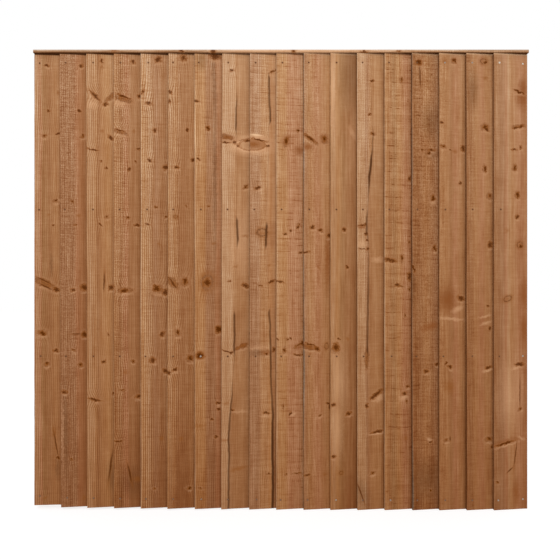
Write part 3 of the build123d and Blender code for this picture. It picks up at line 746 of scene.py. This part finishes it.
def sleeve(name, rings, attributes):
    """Closed mesh through a stack of rings in millimetres, its sides in slot 0 and its ends in slot 1."""
    rows, columns = rings.shape[:2]
    index = np.arange(rows * columns).reshape(rows, columns)
    low, high = index[:-1], index[1:]
    sides = np.stack([low, np.roll(low, -1, 1), np.roll(high, -1, 1), high], -1).reshape(-1, 4)
    faces = sides.tolist() + [index[0, ::-1].tolist(), index[-1].tolist()]
    mesh = bpy.data.meshes.new(name)
    mesh.from_pydata((rings.reshape(-1, 3) / MM).tolist(), [], faces)
    for label, values in attributes.items():
        kind, field = ("FLOAT_VECTOR", "vector") if values.ndim == 3 else ("FLOAT", "value")
        mesh.attributes.new(label, kind, "POINT").data.foreach_set(field, values.astype(np.float32).ravel())
    mesh.polygons.foreach_set("use_smooth", [True] * len(sides) + [False] * 2)
    mesh.polygons.foreach_set("material_index", [0] * len(sides) + [1] * 2)
    edges = np.empty(len(mesh.edges) * 2, dtype=np.int32)
    mesh.edges.foreach_get("vertices", edges)
    ring_of = edges.reshape(-1, 2) // columns
    at_end = (ring_of[:, 0] == ring_of[:, 1]) & np.isin(ring_of[:, 0], (0, rows - 1))
    mesh.attributes.new("sharp_edge", "BOOLEAN", "EDGE").data.foreach_set("value", at_end)
    mesh.update()
    return mesh


def add_object(name, data):
    """A new object in the scene."""
    made = bpy.data.objects.new(name, data)
    bpy.context.scene.collection.objects.link(made)
    return made


def place_piece(name, mesh, materials, nodes):
    """Adds a finished piece, attaches it to the body and hides the CAD nodes that it stands for."""
    for material in materials:
        mesh.materials.append(material)
    piece = add_object(name, mesh)
    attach(piece, BODY)
    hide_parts(*nodes)


def board_mesh(node, timber, seed, sizes, after):
    """One feather-edge board with sawn faces, worn arrises, dents at its nails and perhaps a waney side.

    after is the node of the board that laps over this one.
    """
    board = BoardFrame(node)
    nails = board.own_nails()
    heights = row_heights(board, nails, sizes.row)
    arris = sizes.arris * (0.75 + 0.35 * waver(seed + 2, heights, 45))
    arris = arris + 0.35 * np.maximum(waver(seed + 3, heights, 14), 0)
    wane, dark = wane_line(board, timber, heights, seed)
    across = face_columns(board, nails, heights, arris, wane, timber, sizes.column)
    height = np.broadcast_to(heights[:, None], across.shape)
    wane, dark = wane[:, None], dark[:, None]
    near = np.full(across.shape, float(FAR_FROM_NAILS))
    for u, z in nails:
        near = np.minimum(near, np.hypot(across - u, height - z))
    sink = face_sink(board, timber, seed, sizes, across, height, across - wane, dark, near)
    sides = other_sides(board, heights, arris, seed)
    place = np.concatenate([np.stack([across, height, sink], -1), sides], 1)
    u, z, w = np.moveaxis(place, -1, 0)
    rings = np.stack([board.left(z) + u, board.front_y(u) + w, z], -1)
    attributes = {
        "place": place,
        "figure": ring_field(u, z, w, timber, seed),
        "beyond": u - wane,
        "crease": np.broadcast_to(dark, u.shape),
        "gap": BoardFrame(after).left(z) - rings[..., 0] if after else np.full(u.shape, float(LAST_GAP)),
        "near_nail": np.pad(near, ((0, 0), (0, sides.shape[1])), constant_values=FAR_FROM_NAILS),
    }
    return sleeve(node, rings, attributes)


def maths(operation, reflected=False):
    """A method of Field that adds a Math node. A reflected one takes its own value last."""

    def method(self, *others):
        values = (*others, self) if reflected else (self, *others)
        return self.graph.field("ShaderNodeMath", {"operation": operation}, dict(enumerate(values)))

    return method


class Field:
    """A value that varies over a surface. Arithmetic on it adds Math nodes."""

    def __init__(self, graph, socket):
        self.graph = graph
        self.socket = socket

    __add__ = __radd__ = maths("ADD")
    __mul__ = __rmul__ = maths("MULTIPLY")
    __sub__ = maths("SUBTRACT")
    __rsub__ = maths("SUBTRACT", reflected=True)
    __truediv__ = maths("DIVIDE")
    __pow__ = maths("POWER")
    __abs__ = maths("ABSOLUTE")
    smallest = maths("MINIMUM")
    fraction = maths("FRACT")
    is_below = maths("LESS_THAN")

    def rise(self, low, high):
        """Smooth step from 0 at low to 1 at high."""
        sockets = {"Value": self, "From Min": low, "From Max": high}
        return self.graph.field("ShaderNodeMapRange", {"interpolation_type": "SMOOTHSTEP"}, sockets)


class Graph:
    """A node tree under construction."""

    def __init__(self, tree):
        self.tree = tree

    def node(self, kind, settings=None, sockets=None):
        """Adds a node: its settings first, then the values or links of its sockets."""
        made = self.tree.nodes.new(kind)
        for name, value in (settings or {}).items():
            if name == "stops":
                self._set_stops(made.color_ramp, value)
            else:
                setattr(made, name, value)
        for key, value in (sockets or {}).items():
            if isinstance(value, Field):
                self.tree.links.new(value.socket, made.inputs[key])
            else:
                made.inputs[key].default_value = value
        return made

    def field(self, kind, settings=None, sockets=None, output=0):
        return Field(self, self.node(kind, settings, sockets).outputs[output])

    def split(self, vector):
        """A vector's three parts."""
        made = self.node("ShaderNodeSeparateXYZ", sockets={0: vector})
        return [Field(self, output) for output in made.outputs]

    @staticmethod
    def _set_stops(ramp, stops):
        while len(ramp.elements) < len(stops):
            ramp.elements.new(1)
        for element, (position, colour) in zip(ramp.elements, stops):
            element.position = position
            element.color = colour if len(colour) == 4 else (*colour, 1)


class Finish(Graph):
    """A material under construction."""

    def __init__(self, name):
        self.material = bpy.data.materials.new(name)
        self.material.use_nodes = True
        super().__init__(self.material.node_tree)
        self.tree.nodes.clear()

    def attribute(self, name, output="Fac"):
        return self.field("ShaderNodeAttribute", {"attribute_name": name}, output=output)

    def vector_maths(self, operation, *values, output="Vector"):
        return self.field("ShaderNodeVectorMath", {"operation": operation}, dict(enumerate(values)), output)

    def texture(self, place, across, along, shift, detail, roughness, output):
        """Noise on place, which is counted in waves of the given lengths and shifted."""
        waves = (1 / across, 1 / along, 1 / across)
        shifted = self.vector_maths("MULTIPLY_ADD", place, waves, (shift, shift * 1.7, shift * 0.6))
        sockets = {"Vector": shifted, "Scale": 1.0, "Detail": detail, "Roughness": roughness}
        return self.field("ShaderNodeTexNoise", sockets=sockets, output=output)

    def noise(self, place, across, along, shift, detail=2.0, roughness=0.5):
        """Noise from about -0.5 to 0.5."""
        return self.texture(place, across, along, shift, detail, roughness, 0) - 0.5

    @staticmethod
    def _solid(colour):
        """A colour as a socket takes it."""
        return colour if isinstance(colour, Field) else (*colour, 1)

    def mix(self, factor, a, b):
        """Colour a, or b where factor is 1."""
        settings = {"data_type": "RGBA", "clamp_factor": True}
        return self.field("ShaderNodeMix", settings, {0: factor, 6: self._solid(a), 7: self._solid(b)}, 2)

    def deepen(self, colour, power):
        """The colour raised to a power, deeper above 1."""
        return self.field("ShaderNodeGamma", sockets={"Color": self._solid(colour), "Gamma": power})

    def ramp(self, factor, stops):
        """(colour, alpha) of a ramp."""
        made = self.node("ShaderNodeValToRGB", {"stops": stops}, {0: factor})
        return Field(self, made.outputs[0]), Field(self, made.outputs[1])

    def surface(self, colour, roughness, relief, depth, strength, settings):
        """Principled shader with a relief, joined to the output. settings are the sockets that don't vary."""
        sockets = {"Base Color": colour, "Roughness": roughness, **settings}
        if relief is not None:
            bump = {"Height": relief, "Distance": depth, "Strength": strength}
            sockets["Normal"] = self.field("ShaderNodeBump", sockets=bump)
        shader = self.field("ShaderNodeBsdfPrincipled", sockets=sockets)
        self.node("ShaderNodeOutputMaterial", sockets={"Surface": shader})
        return self.material


MATT = {"Specular IOR Level": 0.0}


def with_details(timber):
    """A timber's marks by kind, with pale wood beneath each larger knot and a dark middle in each red one."""
    marks = {kind: [(*mark, 0)[:5] for mark in getattr(timber, kind)] for kind in MARK_FORMS}
    knots = [mark for mark in marks["dead"] + marks["live"] if mark[2] >= 8 and 5 <= mark[3] <= 20]
    red = [mark for mark in marks["live"] if max(mark[2], mark[3]) <= 20]
    marks["gleam"] += [(u + 2, z - tall - 4, 0.75 * wide, 3.5, turn / 2) for u, z, wide, tall, turn in knots]
    marks["dead"] += [(u + 1, z + 1, 0.6 * wide, 0.6 * tall, turn) for u, z, wide, tall, turn in red]
    return marks


def add_marks(m, colour, place, shift, timber, wood):
    """Lays each kind of mark over the colour, the nearest mark of a kind counting at each point."""
    spread = m.texture(place, 13, 12, shift, 3, 0.5, "Color")
    push = m.vector_maths("MULTIPLY_ADD", spread, (20, 16, 0), (-10, -8, 0))
    calm = m.vector_maths("MULTIPLY_ADD", push, (0.2, 0.2, 0), place)
    pushed = m.vector_maths("ADD", place, push)
    ragged = m.noise(place, 4.2, 3.4, shift + 1, 3, 0.65)
    for kind, marks in with_details(timber).items():
        nearest = None
        for across, height, wide, tall, turn in marks:
            sockets = {
                "Vector": calm if kind in CLEAN_MARKS else pushed, "Location": (across, height, 0),
                "Rotation": Euler((0, 0, math.radians(turn))), "Scale": (wide, tall, MARK_THROUGH),
            }
            local = m.field("ShaderNodeMapping", {"vector_type": "TEXTURE"}, sockets)
            distance = m.vector_maths("LENGTH", local, output="Value")
            nearest = distance if nearest is None else nearest.smallest(distance)
        if nearest is not None:
            raggedness, form = MARK_FORMS[kind]
            stops = [(position, (*getattr(wood, name), cover)) for position, name, cover in form]
            tint, cover = m.ramp((nearest + ragged * raggedness) / MARK_REACH, stops)
            colour = m.mix(cover, colour, tint)
    return colour


def timber_finish(name, timber, seed, wood, boards, fade):
    """Sawn, treated softwood. fade is how far the colour deepens towards the foot, as painted shade for light
    that falls off lower down on boards that stand.
    """
    m = Finish(name)
    shift = 3.7 * seed
    place = m.attribute("place", "Vector")
    across, along, depth = m.split(place)
    wander = m.noise(place, 45, 380, shift)
    fibre = m.noise(place, 3.2, 130, shift + 1, 4, 0.65)
    streak = m.noise(place, 9, 520, shift + 2, 3, 0.6)
    mottle = m.noise(place, 26, 75, shift + 3, 3, 0.6)
    hatch = m.noise(place, 55, 4.6, shift + 4, 3, 0.6)
    speckle = m.noise(place, 3.6, 4.8, shift + 5, 3, 0.6)
    cloud = m.noise(place, 28, 170, shift + 7, 3, 0.6)

    stops = [(position / BOARD_RUN, getattr(wood, tone_name)) for position, tone_name in timber.tones.items()]
    colour, _ = m.ramp(across / BOARD_RUN + (wander * 0.16 + streak * 0.05) * timber.drift, stops)
    colour = m.mix(cloud.rise(0.02, 0.26) * 0.5 * timber.cloud, colour, wood.russet)
    colour = m.mix((0 - cloud).rise(0.02, 0.26) * 0.5 * timber.cloud, colour, wood.olive)
    sawn = 1 - (across + wander * 24).rise(timber.sawn - 7, timber.sawn + 7) * 0.7
    if timber.wane:
        beyond = m.attribute("beyond")
        darkness = m.attribute("crease")
        smooth = beyond.rise(-0.8, 0.8)
        colour = m.mix(smooth * (0.3 + 0.35 * darkness), colour, getattr(wood, timber.wane_tone))
        sawn = sawn * (1 - smooth * 0.8)
        # The crease along the wane: its darkness is partly bark and partly painted shade
        crease = (1 - (abs(beyond - 0.8) / (darkness * 2.8 + 0.4)).rise(0.2, 2.2)) * (darkness + fibre) * 0.9

    _, _, spacing, _, strength = timber.rings
    late = ((m.attribute("figure") + fibre * 1.5) / spacing).fraction() ** 2
    rough = sawn * (along / PANEL_TALL * 0.5 + 0.6)
    deep = (late - 0.33) * strength * (sawn * 0.8 + 0.2) + fibre * (sawn * 0.5 + 0.5)
    deep = deep + streak * 0.6 + mottle * 0.4
    deep = deep + rough * (speckle * 1.5 + hatch * 0.4) * timber.rough + hatch * (0.15 + 0.5 * timber.hatch)
    if timber.weave:
        fine = abs(((along + wander * 30) / FINE_SAW_PITCH).fraction() - 0.5) - 0.25
        deep = deep + rough * (fibre * hatch * 5 + fine * (mottle + 0.3) * 0.9) * timber.weave
    if timber.dashes:
        dash = m.noise(place, 15, 3.2, shift + 8, 2).rise(0.1, 0.24) * (mottle + 0.5).rise(0.3, 0.7)
        deep = deep + rough * dash * timber.dashes
    if timber.chatter:
        saw = ((along + across * SAW_TILT) / timber.pitch + wander * 0.3).fraction()
        line = 1 - abs(saw - 0.5).rise(0.6 / timber.pitch, 2.8 / timber.pitch)
        broken = (mottle + cloud + hatch * 0.6 + 0.15).rise(0.05, 0.45)
        deep = deep + rough * (line * broken * 0.7 + saw * 0.12) * timber.chatter
    # Deeper towards the foot by fade: painted shade, as if less light reached the lower part
    deep = deep * wood.contrast + (1 - along / PANEL_TALL) * fade + (1 + timber.rich)
    if timber.damp:
        deep = deep + (1 - along.rise(0, DAMP_FOOT)) * timber.damp
    colour = m.deepen(colour, deep)

    # Pale colour along the thick edge's arris: partly worn wood, partly a painted highlight
    edge = (1 - across.rise(1.4, 4.2)) * (1 - depth.rise(0.8, 1.6)) * timber.edge
    colour = m.mix(edge * (streak * 2.5 + cloud * 1.5 + 0.3), colour, getattr(wood, timber.edge_tone))
    # Painted shade on the side face of the thick edge, in the dead knot's colour
    side = (1 - across.rise(0.9, 1.5)) * depth.rise(0.9, 2.2)
    colour = m.mix(side * timber.side, colour, wood.knot)
    colour = add_marks(m, colour, place, shift + 6, timber, wood)
    # Bark colour in the wane's crease: partly bark, partly painted shade
    if timber.wane:
        colour = m.mix(crease, colour, wood.bark)
    if fade:
        # Painted shade round each nail's dent
        nail_dent_shade = 1 - m.attribute("near_nail").rise(*NAIL_DENT_SHADE)
        # Painted shade on a board beside the edge of the board that laps over it
        painted_gap_shade = 1 - m.attribute("gap").rise(*SHADED_GAP)
        colour = m.mix(nail_dent_shade * 0.4, colour, wood.heart)
        colour = m.mix(painted_gap_shade * 0.34, colour, wood.knot)
    # Along the top under the capping strip: a band of painted shade, or below 0 a band of painted light
    if timber.top > 0:
        colour = m.mix(along.rise(*PAINTED_SHADE_UNDER_CAP) * timber.top, colour, wood.bark)
    if timber.top < 0:
        colour = m.mix(along.rise(*PAINTED_LIGHT_UNDER_CAP) * -timber.top, colour, wood.cream)

    relief = fibre * 0.8 + hatch * (0.3 + timber.hatch) + sawn * speckle * (2 * timber.rough)
    relief = relief - late * (strength * 0.8)
    return m.surface(colour, 0.76 + fibre * 0.2, relief, 0.0006, boards.relief, MATT)


def end_grain_finish(name, seed, wood, boards):
    """Sawn end grain: growth rings, pores and a darker tone, because it soaks up more treatment."""
    m = Finish(name)
    place = m.attribute("place", "Vector")
    speckle = m.noise(place, 1.3, 1.3, seed + 0.5, 3)
    mottle = m.noise(place, 9, 9, seed + 1.5, 2)
    ring = (m.attribute("figure") / 5 + mottle * 0.4).fraction()
    colour = m.deepen(wood.umber, 1.25 + ring * 0.35 + speckle * 0.7 + mottle * 0.5)
    return m.surface(colour, 0.85 + speckle * 0.1, speckle - ring * 0.4, 0.0005, boards.relief, MATT)


def bar_section(half_y, half_z, low_arris, high_arris):
    """Points round a bar's section, with rounded arrises at its foot and its top."""
    corners = []
    for y_sign, z_sign in ((-1, -1), (1, -1), (1, 1), (-1, 1)):
        worn = high_arris if z_sign > 0 else low_arris
        centre = np.array((y_sign * (half_y - worn), z_sign * (half_z - worn)))
        start = math.atan2(z_sign, y_sign) - math.pi / 4
        for angle in (start + k * math.pi / 6 for k in range(4)):
            corners.append(centre + worn * np.array((math.cos(angle), math.sin(angle))))
    points = []
    for a, b in zip(corners, corners[1:] + corners[:1]):
        pieces = max(round(float(np.hypot(*(b - a))) / SECTION_STEP), 1)
        points += [a + (b - a) * k / pieces for k in range(pieces)]
    return np.array(points)


def bar_mesh(name, low, high, arrises, timber, seed, step):
    """A bar along X between two corners, with worn arrises and lightly uneven sawn faces."""
    middle, half = (low + high) / 2, (high - low) / 2
    section = bar_section(half[1], half[2], *arrises)
    x = np.linspace(low[0], high[0], round((high[0] - low[0]) / step) + 1)[:, None]
    along, y, z, around = np.broadcast_arrays(x, *section.T, np.arange(len(section)))
    shrink = 0.12 * (1 + drift(seed, along / 90, around / 5))
    shrink = shrink + 0.06 * (1 + drift(seed + 1, along / 18, around / 2))
    kept = 1 - shrink / np.hypot(y, z)
    rings = np.stack([along, middle[1] + y * kept, middle[2] + z * kept], -1)
    across, reach, depth = z + half[2], along - low[0], y + half[1]
    attributes = {
        "place": np.stack([across, reach, depth], -1),
        "figure": ring_field(across, reach, depth, timber, seed),
    }
    return sleeve(name, rings, attributes)


RAIL = Timber(
    tones={0: "umber", 12: "tan", 34: "tan", 47: "umber"},
    rich=0.1, rings=(20, 30, 5, 0.01, 0.35), rough=0.7, hatch=0.4, weave=0.4, edge=0.0, side=0.0,
)
RAIL_ARRIS = 1.6
RAIL_STEP = 9
CAP = Timber(
    tones={0: "bark", 0.6: "bark", 2.2: "chestnut", 4.8: "umber", 7.5: "ash", 47: "ash"},
    rings=(20, 30, 5, 0.01, 0.35), rough=0.5, hatch=0.3, edge=0.0, side=0.0, drift=0.15,
    shade=[(4, 170, 12, 260), (2, 150, 6, 200), (6, 8, 20, 16), (14, 1700, 8, 260), (4, 560, 10, 120)],
    pale=[(6, 960, 12, 220)], faint=[(5, 300, 6, 12)], live=[(6, 1350, 5, 9), (6, 960, 6, 8)],
    dead=[(6, 548, 5, 9), (6, 664, 8, 10), (5, 1222, 5, 14)],
)
CAP_ARRISES = (0.5, 2.0)
CAP_STEP = 7
RAIL_KNOTS = np.arange(90, 1760, 210)
RAIL_KNOT_KINDS = ("dead", "live", "live", "faint")


def rail_timber(number):
    """A rail's timber, with knots of its own."""
    dice = np.random.default_rng(40 + number)
    knots = {kind: [] for kind in RAIL_KNOT_KINDS}
    for place in RAIL_KNOTS + dice.uniform(-60, 60, len(RAIL_KNOTS)):
        kind = RAIL_KNOT_KINDS[dice.integers(len(RAIL_KNOT_KINDS))]
        knots[kind].append((dice.uniform(8, 40), place, dice.uniform(4, 9), dice.uniform(4, 10)))
    return RAIL._replace(**knots)


# How bright the zinc is, where it shows: on a whole row, and on single nails by (row, place in it)
ROW_BRIGHTNESS = {4: 0.08}
BRIGHT_NAILS = {
    (1, 15): 0.35, (1, 16): 0.35, (1, 17): 1.0, (1, 18): 1.0, (3, 6): 0.5, (3, 18): 0.5,
    (4, 6): 0.2, (4, 11): 0.35, (4, 13): 0.35, (4, 17): 0.45, (4, 18): 0.5,
}
CAP_NAIL_ROW = 9
NAIL_INPUTS = {
    "Geometry": "Geometry", "Head Radius": "Float", "Head Thickness": "Float", "Shank Radius": "Float",
    "Sides": "Int", "Driving Turn": "Float", "Tilt": "Float", "Seed": "Int", "Material": "Material",
}


class NailTree(Graph):
    """Geometry Nodes that put a wire nail on each point, its head at the point."""

    def __init__(self):
        super().__init__(bpy.data.node_groups.new("Wire nails", "GeometryNodeTree"))
        for name, kind in NAIL_INPUTS.items():
            self.tree.interface.new_socket(name, in_out="INPUT", socket_type=f"NodeSocket{kind}")
        self.tree.interface.new_socket("Geometry", in_out="OUTPUT", socket_type="NodeSocketGeometry")
        given = self.node("NodeGroupInput")
        self.inputs = {output.name: Field(self, output) for output in given.outputs if output.name}

        thick, wide, thin = (self.inputs[name] for name in ("Head Thickness", "Head Radius", "Shank Radius"))
        head = self.turned(
            (wide * 0.82, 0), (wide * 0.97, thick * 0.18), (wide, thick * 0.5), (wide * 0.96, thick),
            (thin, thick * 1.05),
        )
        shank = self.turned((thin, 0), (thin, 0.9), (thin * 0.15, 1.0))
        reach = self.field("GeometryNodeInputNamedAttribute", {"data_type": "FLOAT"}, {"Name": "length"})
        join = self.node("GeometryNodeJoinGeometry")
        for form, scale in ((head, (1, 1, 1)), (shank, self.vector(1.0, 1.0, reach))):
            self.tree.links.new(self.on_points(form, scale).socket, join.inputs[0])
        real = self.field("GeometryNodeRealizeInstances", sockets={0: Field(self, join.outputs[0])})
        sockets = {"Geometry": real, "Material": self.inputs["Material"]}
        self.node("NodeGroupOutput", sockets={0: self.field("GeometryNodeSetMaterial", sockets=sockets)})

    def vector(self, x, y, z):
        return self.field("ShaderNodeCombineXYZ", sockets={"X": x, "Y": y, "Z": z})

    def turned(self, *profile):
        """A form turned about Z, its rings given as (radius, distance along)."""
        steps = len(profile) - 1
        sockets = {"Vertices": self.inputs["Sides"], "Side Segments": steps, "Radius": 1.0, "Depth": 1.0}
        bar = self.field("GeometryNodeMeshCylinder", {"fill_type": "NGON"}, sockets)
        x, y, z = self.split(self.field("GeometryNodeInputPosition"))
        ring = (z + 0.5) * steps
        radius, reach = 0.0, 0.0
        for k, (ring_radius, ring_reach) in enumerate(profile):
            here = abs(ring - k).is_below(0.25)
            radius = here * ring_radius + radius
            reach = here * ring_reach + reach
        sockets = {"Geometry": bar, "Position": self.vector(x * radius, y * radius, reach)}
        made = self.field("GeometryNodeSetPosition", sockets=sockets)
        return self.field("GeometryNodeSetShadeSmooth", sockets={"Geometry": made, "Shade Smooth": False})

    def on_points(self, form, scale):
        """The form on every point, turned to its driving direction and leaning a little."""
        turn = self.vector(self.inputs["Driving Turn"], 0.0, 0.0)
        sockets = {"Points": self.inputs["Geometry"], "Instance": form, "Rotation": turn, "Scale": scale}
        stood = self.field("GeometryNodeInstanceOnPoints", sockets=sockets)
        tilt = self.inputs["Tilt"]
        low, high = self.vector(0 - tilt, 0 - tilt, -math.pi), self.vector(tilt, tilt, math.pi)
        sockets = {0: low, 1: high, "Seed": self.inputs["Seed"]}
        lean = self.field("FunctionNodeRandomValue", {"data_type": "FLOAT_VECTOR"}, sockets)
        sockets = {"Instances": stood, "Rotation": lean, "Local Space": True}
        return self.field("GeometryNodeRotateInstances", sockets=sockets)


def nail_finish(nails):
    """Zinc coated steel, bright on some nails and stained dark on the rest."""
    m = Finish("Wire nail")
    place = m.field("ShaderNodeTexCoord", output="Object")
    scratch = m.noise(place, 0.0012, 0.0008, 2.5, 3)
    blotch = m.noise(place, 0.004, 0.004, 5.5, 2)
    bright = m.attribute("bright") + blotch * 0.2
    colour = m.deepen(m.mix(bright, nails.dull, nails.bright), 1.0 + scratch * 0.6)
    roughness = 0.55 - bright * 0.12 + scratch * 0.2
    return m.surface(colour, roughness, scratch, 0.0002, 0.3, {**MATT, "Metallic": bright * 0.6})


def nails_piece(tree, node, axis, row, sizes, material):
    """The nails of one CAD node, made by the tree and turned into a plain mesh."""
    name = f"wire_{node}"
    found = nails_of(node, axis)
    mesh = bpy.data.meshes.new(name)
    mesh.from_pydata([(head / MM).tolist() for head, _ in found], [], [])
    values = {
        "length": [reach / MM for _, reach in found],
        "bright": [BRIGHT_NAILS.get((row, k), ROW_BRIGHTNESS.get(row, 0.0)) for k in range(len(found))],
    }
    for label, numbers in values.items():
        mesh.attributes.new(label, "FLOAT", "POINT").data.foreach_set("value", numbers)
    maker = add_object(f"{name}_points", mesh)
    modifier = maker.modifiers.new("Wire nails", "NODES")
    modifier.node_group = tree.tree
    values = {
        "Head Radius": sizes.head / 2 / MM, "Head Thickness": sizes.thickness / MM,
        "Shank Radius": sizes.shank / 2 / MM, "Sides": sizes.sides,
        "Driving Turn": -math.pi / 2 if axis == 1 else math.pi, "Tilt": sizes.tilt,
        "Seed": row, "Material": material,
    }
    for item in tree.tree.interface.items_tree:
        if item.in_out == "INPUT" and item.name in values:
            modifier[item.identifier] = values[item.name]
    bpy.context.view_layer.update()
    evaluated = maker.evaluated_get(bpy.context.evaluated_depsgraph_get())
    made = bpy.data.meshes.new_from_object(evaluated)
    maker.modifiers.remove(modifier)
    bpy.data.objects.remove(maker)
    made.name = name
    place_piece(name, made, [], [node])


def find_settings(context):
    scene = context.scene
    return scene.fence_wood, scene.fence_boards, scene.fence_nails, scene.fence_stage


class FENCE_OT_boards(bpy.types.Operator):
    """Make the feather-edge boards"""

    bl_idname = "fence.boards"
    bl_label = "Feather-Edge Boards"

    def execute(self, context):
        wood, sizes, _, _ = find_settings(context)
        if len(BOARD_NODES) != len(BOARDS):
            raise RuntimeError("the frame's boards and the timbers listed here differ in number")
        lapped = [*BOARD_NODES[1:], None]
        for seed, (node, after, timber) in enumerate(zip(BOARD_NODES, lapped, BOARDS), start=1):
            mesh = board_mesh(node, timber, 20 * seed, sizes, after)
            face = timber_finish(f"Sawn board {seed}", timber, seed, wood, sizes, wood.shade_towards_ground)
            end = end_grain_finish(f"Board end {seed}", seed, wood, sizes)
            place_piece(f"sawn_{node}", mesh, [face, end], [node])
        return {"FINISHED"}


class FENCE_OT_rails(bpy.types.Operator):
    """Make the rails behind the boards"""

    bl_idname = "fence.rails"
    bl_label = "Rails"

    def execute(self, context):
        wood, sizes, _, _ = find_settings(context)
        end = end_grain_finish("Rail end", 31, wood, sizes)
        for number, node in enumerate(RAIL_NODES, start=1):
            low, high = (np.array(corner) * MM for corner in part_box(node))
            timber = rail_timber(number)
            arrises = RAIL_ARRIS, RAIL_ARRIS
            mesh = bar_mesh(node, low, high, arrises, timber, 500 + 20 * number, RAIL_STEP)
            face = timber_finish(f"Sawn rail {number}", timber, 30 + number, wood, sizes, 0)
            place_piece(f"sawn_{node}", mesh, [face, end], [node])
        return {"FINISHED"}


class FENCE_OT_cap(bpy.types.Operator):
    """Make the capping strip"""

    bl_idname = "fence.cap"
    bl_label = "Capping Strip"

    def execute(self, context):
        wood, sizes, _, _ = find_settings(context)
        low, high = (np.array(corner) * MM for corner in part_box("cap"))
        mesh = bar_mesh("cap", low, high, CAP_ARRISES, CAP, 700, CAP_STEP)
        face = timber_finish("Sawn cap", CAP, 50, wood, sizes, 0)
        end = end_grain_finish("Cap end", 51, wood, sizes)
        place_piece("sawn_cap", mesh, [face, end], ["cap"])
        return {"FINISHED"}


class FENCE_OT_nails(bpy.types.Operator):
    """Make the wire nails"""

    bl_idname = "fence.nails"
    bl_label = "Wire Nails"

    def execute(self, context):
        _, _, sizes, _ = find_settings(context)
        tree = NailTree()
        material = nail_finish(sizes)
        for row, node in enumerate(NAIL_NODES, start=1):
            nails_piece(tree, node, 1, row, sizes, material)
        nails_piece(tree, "cap_nails", 2, CAP_NAIL_ROW, sizes, material)
        return {"FINISHED"}


class FENCE_OT_stage(bpy.types.Operator):
    """Make the floor, the lights and the camera"""

    bl_idname = "fence.stage"
    bl_label = "Stage"

    def execute(self, context):
        settings = find_settings(context)[3]
        scene = context.scene
        make_floor(settings)
        make_lights(scene, settings)
        make_camera(scene, settings)
        scene.view_settings.view_transform = "Standard"
        return {"FINISHED"}


FLOOR_REACH = 12.0
KEY_SIZE = (2.6, 1.2)
KEY_PLACE = (-0.3, -3.0, 2.4)
KEY_TURN = (math.radians(63), 0, math.radians(-6))
CAMERA_PLACE = (-0.0046, -2.004, 0.8499)
SENSOR = 36
WHITE = (1, 1, 1, 1)


def make_floor(settings):
    """A wide pale floor at the panel's feet."""
    m = Finish("Pale floor")
    place = m.field("ShaderNodeTexCoord", output="Object")
    cloud = m.noise(place, 0.8, 0.8, 1.5, 3)
    colour = m.deepen(settings.floor, 1.0 + cloud * 0.1)
    shine = {**MATT, "Emission Color": WHITE, "Emission Strength": settings.glow}
    mesh = bpy.data.meshes.new("floor")
    corners = [(x * FLOOR_REACH, y * FLOOR_REACH, 0) for x, y in ((-1, -1), (1, -1), (1, 1), (-1, 1))]
    mesh.from_pydata(corners, [], [(0, 1, 2, 3)])
    mesh.materials.append(m.surface(colour, 0.9 + cloud * 0.05, None, 0, 0, shine))
    floor = add_object("floor", mesh)


def make_lights(scene, settings):
    """White surroundings, and one large soft light in front, above and a little to the left."""
    world = bpy.data.worlds.new("White surroundings")
    world.use_nodes = True
    background = world.node_tree.nodes["Background"]
    background.inputs["Color"].default_value = WHITE
    background.inputs["Strength"].default_value = settings.sky
    scene.world = world
    key = bpy.data.lights.new("key", "AREA")
    key.shape = "RECTANGLE"
    key.size, key.size_y = KEY_SIZE
    key.energy = settings.key
    lamp = add_object("key", key)
    lamp.location = KEY_PLACE
    lamp.rotation_euler = KEY_TURN


def make_camera(scene, settings):
    """Square in front of the panel, at half its height."""
    camera = bpy.data.cameras.new("camera")
    camera.sensor_width = SENSOR
    camera.lens = settings.lens
    viewer = add_object("camera", camera)
    viewer.location = CAMERA_PLACE
    viewer.rotation_euler = (math.pi / 2, 0, 0)
    scene.camera = viewer


class VIEW3D_PT_fence_panel(bpy.types.Panel):
    """Lists the makers of the fence panel's pieces"""

    bl_idname = "VIEW3D_PT_fence_panel"
    bl_label = "Closeboard Fence Panel"
    bl_space_type = "VIEW_3D"
    bl_region_type = "UI"
    bl_category = "Fence Panel"

    def draw(self, context):
        for maker in MAKERS:
            self.layout.operator(maker.bl_idname)
        for settings in find_settings(context):
            box = self.layout.box()
            for name in settings.__annotations__:
                box.prop(settings, name)


MAKERS = (FENCE_OT_boards, FENCE_OT_rails, FENCE_OT_cap, FENCE_OT_nails, FENCE_OT_stage)
SETTINGS = {
    "fence_wood": FenceWoodSettings,
    "fence_boards": FenceBoardSettings,
    "fence_nails": FenceNailSettings,
    "fence_stage": FenceStageSettings,
}
CLASSES = (*SETTINGS.values(), *MAKERS, VIEW3D_PT_fence_panel)


def register():
    for cls in CLASSES:
        bpy.utils.register_class(cls)
    for name, group in SETTINGS.items():
        setattr(bpy.types.Scene, name, PointerProperty(type=group))


def unregister():
    for name in SETTINGS:
        delattr(bpy.types.Scene, name)
    for cls in reversed(CLASSES):
        bpy.utils.unregister_class(cls)


def main():
    register()
    bpy.ops.fence.stage()
    bpy.ops.fence.boards()
    bpy.ops.fence.rails()
    bpy.ops.fence.cap()
    bpy.ops.fence.nails()


if __name__ == "__main__":
    main()
